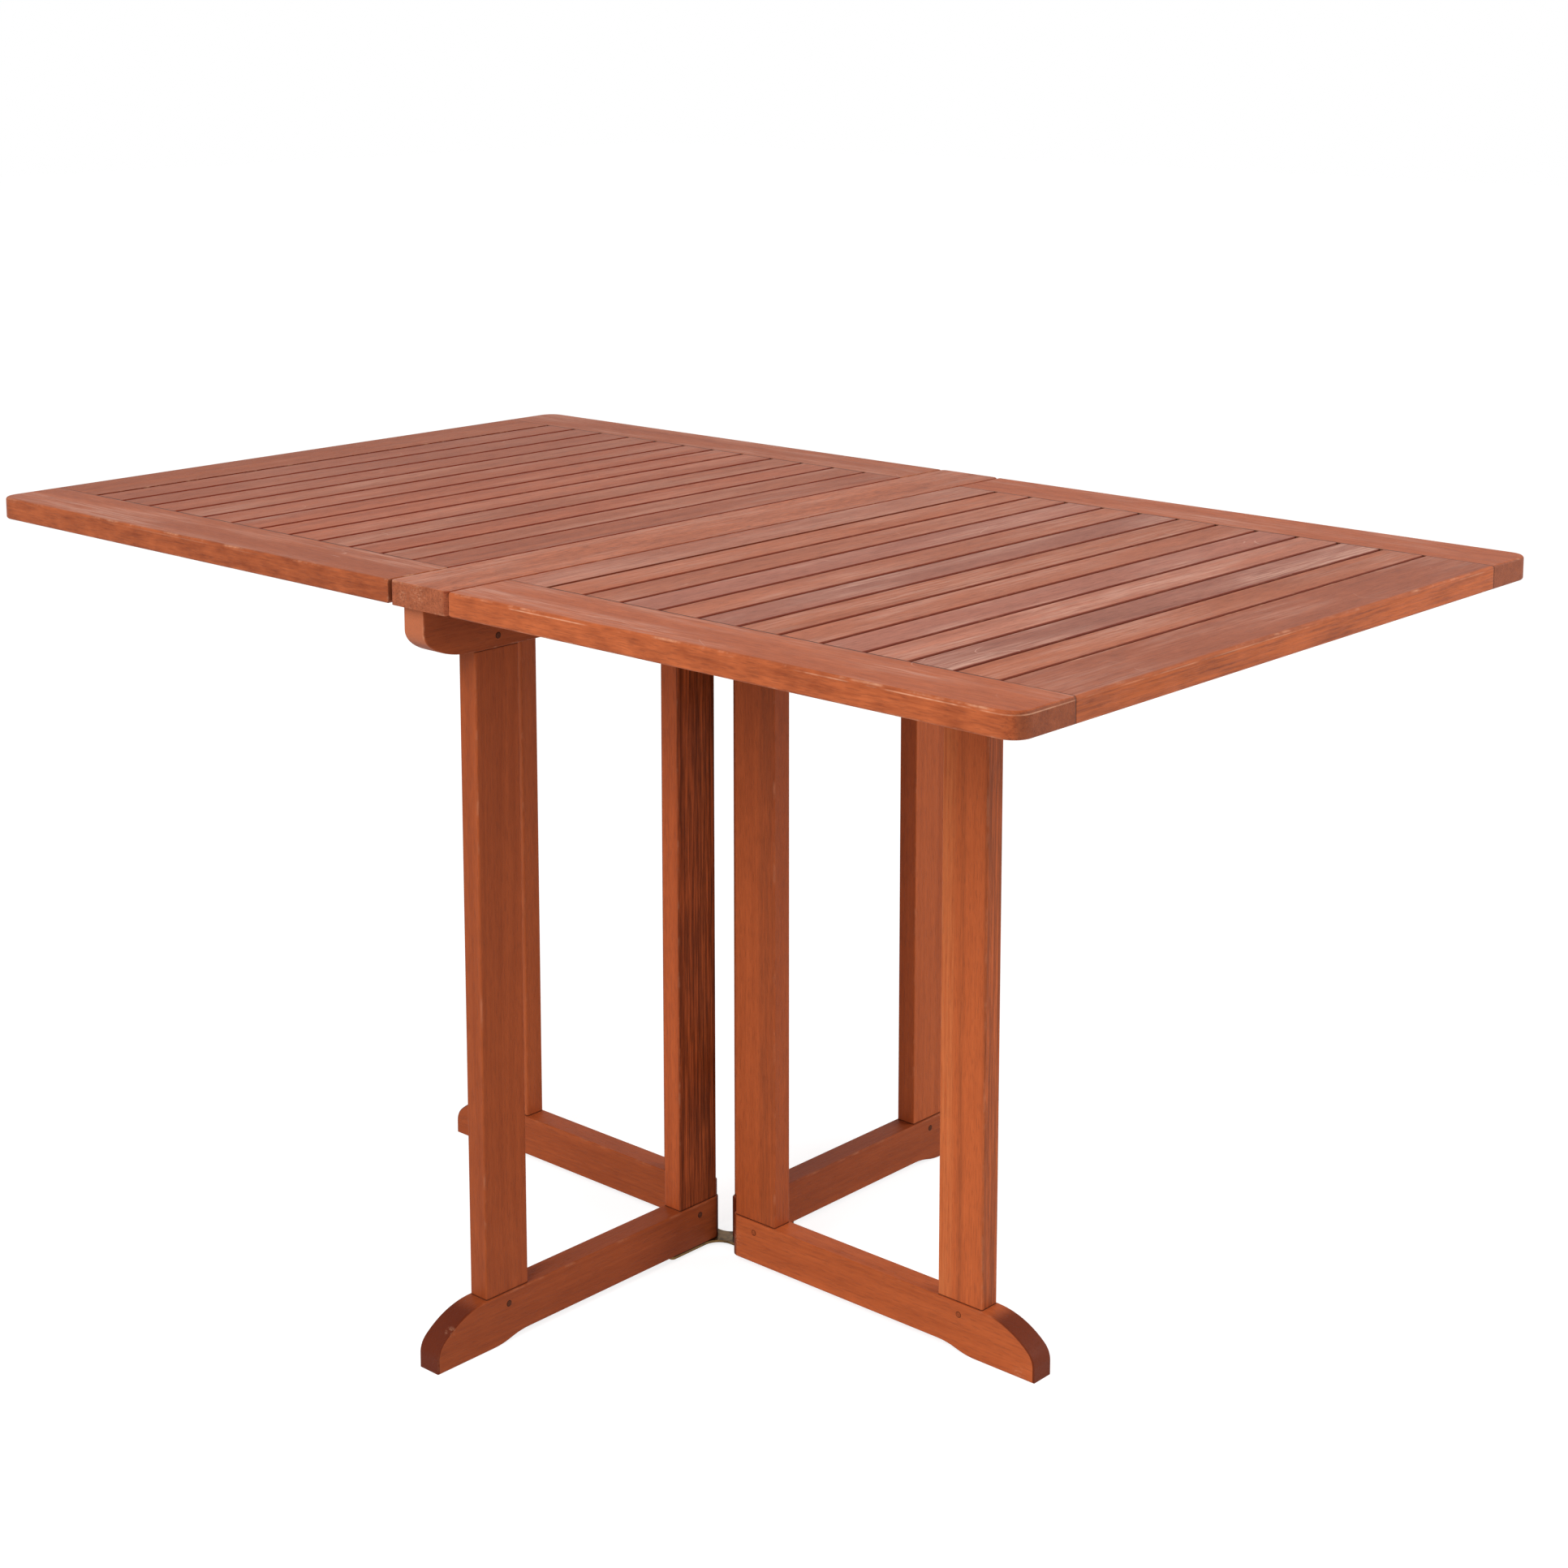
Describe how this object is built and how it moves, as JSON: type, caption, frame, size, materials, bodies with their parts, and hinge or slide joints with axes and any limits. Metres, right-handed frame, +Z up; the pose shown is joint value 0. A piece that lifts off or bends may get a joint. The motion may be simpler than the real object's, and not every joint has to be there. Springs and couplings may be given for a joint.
{
  "type": "folding garden table",
  "caption": "Slatted wooden garden table with two drop leaves carried by swinging gate legs on a narrow centre board.",
  "frame": {"origin": "on the floor, under the centre of the table top", "axes": "+X along the table towards the right leaf, +Y across it towards the back, +Z up"},
  "size_m": [1.3, 0.77, 0.735],
  "materials": {
    "oiled_top_wood": "oiled, satin",
    "oiled_stand_wood": "oiled, satin",
    "peg_wood": "end grain, oiled",
    "zinc_steel": "zinc plated",
    "yellow_zinc_plate": "dulled yellow zinc"
  },
  "bodies": {
    "fixed_base": {"centre_board": "oiled_top_wood", "fixed_hinge_flaps": "zinc_steel", "fixed_hinge_screws": "zinc_steel", "fixed_stand_pegs": "peg_wood", "frame_screws": "zinc_steel", "front_stand_foot": "oiled_stand_wood", "front_stand_inner_post": "oiled_stand_wood", "front_stand_outer_post": "oiled_stand_wood", "front_stand_top_rail": "oiled_stand_wood", "hinge_pins": "zinc_steel", "rear_stand_foot": "oiled_stand_wood", "rear_stand_inner_post": "oiled_stand_wood", "rear_stand_outer_post": "oiled_stand_wood", "rear_stand_top_rail": "oiled_stand_wood", "tie_plate": "yellow_zinc_plate", "tie_plate_screws": "zinc_steel"},
    "left_gate": {"left_gate_foot": "oiled_stand_wood", "left_gate_hinge_hardware": "zinc_steel", "left_gate_inner_post": "oiled_stand_wood", "left_gate_outer_post": "oiled_stand_wood", "left_gate_pegs": "peg_wood", "left_gate_top_rail": "oiled_stand_wood"},
    "left_leaf": {"left_leaf_back_rail": "oiled_top_wood", "left_leaf_front_rail": "oiled_top_wood", "left_leaf_hinge_hardware": "zinc_steel", "left_leaf_inner_stile": "oiled_top_wood", "left_leaf_outer_stile": "oiled_top_wood", "left_leaf_slat_01": "oiled_top_wood", "left_leaf_slat_02": "oiled_top_wood", "left_leaf_slat_03": "oiled_top_wood", "left_leaf_slat_04": "oiled_top_wood", "left_leaf_slat_05": "oiled_top_wood", "left_leaf_slat_06": "oiled_top_wood", "left_leaf_slat_07": "oiled_top_wood", "left_leaf_slat_08": "oiled_top_wood", "left_leaf_slat_09": "oiled_top_wood", "left_leaf_slat_10": "oiled_top_wood", "left_leaf_slat_11": "oiled_top_wood"},
    "right_gate": {"right_gate_foot": "oiled_stand_wood", "right_gate_hinge_hardware": "zinc_steel", "right_gate_inner_post": "oiled_stand_wood", "right_gate_outer_post": "oiled_stand_wood", "right_gate_pegs": "peg_wood", "right_gate_top_rail": "oiled_stand_wood"},
    "right_leaf": {"right_leaf_back_rail": "oiled_top_wood", "right_leaf_front_rail": "oiled_top_wood", "right_leaf_hinge_hardware": "zinc_steel", "right_leaf_inner_stile": "oiled_top_wood", "right_leaf_outer_stile": "oiled_top_wood", "right_leaf_slat_01": "oiled_top_wood", "right_leaf_slat_02": "oiled_top_wood", "right_leaf_slat_03": "oiled_top_wood", "right_leaf_slat_04": "oiled_top_wood", "right_leaf_slat_05": "oiled_top_wood", "right_leaf_slat_06": "oiled_top_wood", "right_leaf_slat_07": "oiled_top_wood", "right_leaf_slat_08": "oiled_top_wood", "right_leaf_slat_09": "oiled_top_wood", "right_leaf_slat_10": "oiled_top_wood", "right_leaf_slat_11": "oiled_top_wood"}
  },
  "joints": [
    {"name": "right_gate_swing", "type": "hinge", "parent": "fixed_base", "child": "right_gate", "pos_m": [0.031, 0, 0.3825], "axis": [0, 0, -1], "range_deg": [0, 90]},
    {"name": "left_gate_swing", "type": "hinge", "parent": "fixed_base", "child": "left_gate", "pos_m": [-0.031, 0, 0.3825], "axis": [0, 0, -1], "range_deg": [0, 90]},
    {"name": "right_leaf_lift", "type": "hinge", "parent": "fixed_base", "child": "right_leaf", "pos_m": [0.039, 0, 0.716], "axis": [0, -1, 0], "range_deg": [0, 5]},
    {"name": "left_leaf_lift", "type": "hinge", "parent": "fixed_base", "child": "left_leaf", "pos_m": [-0.039, 0, 0.716], "axis": [0, 1, 0], "range_deg": [0, 5]}
  ]
}
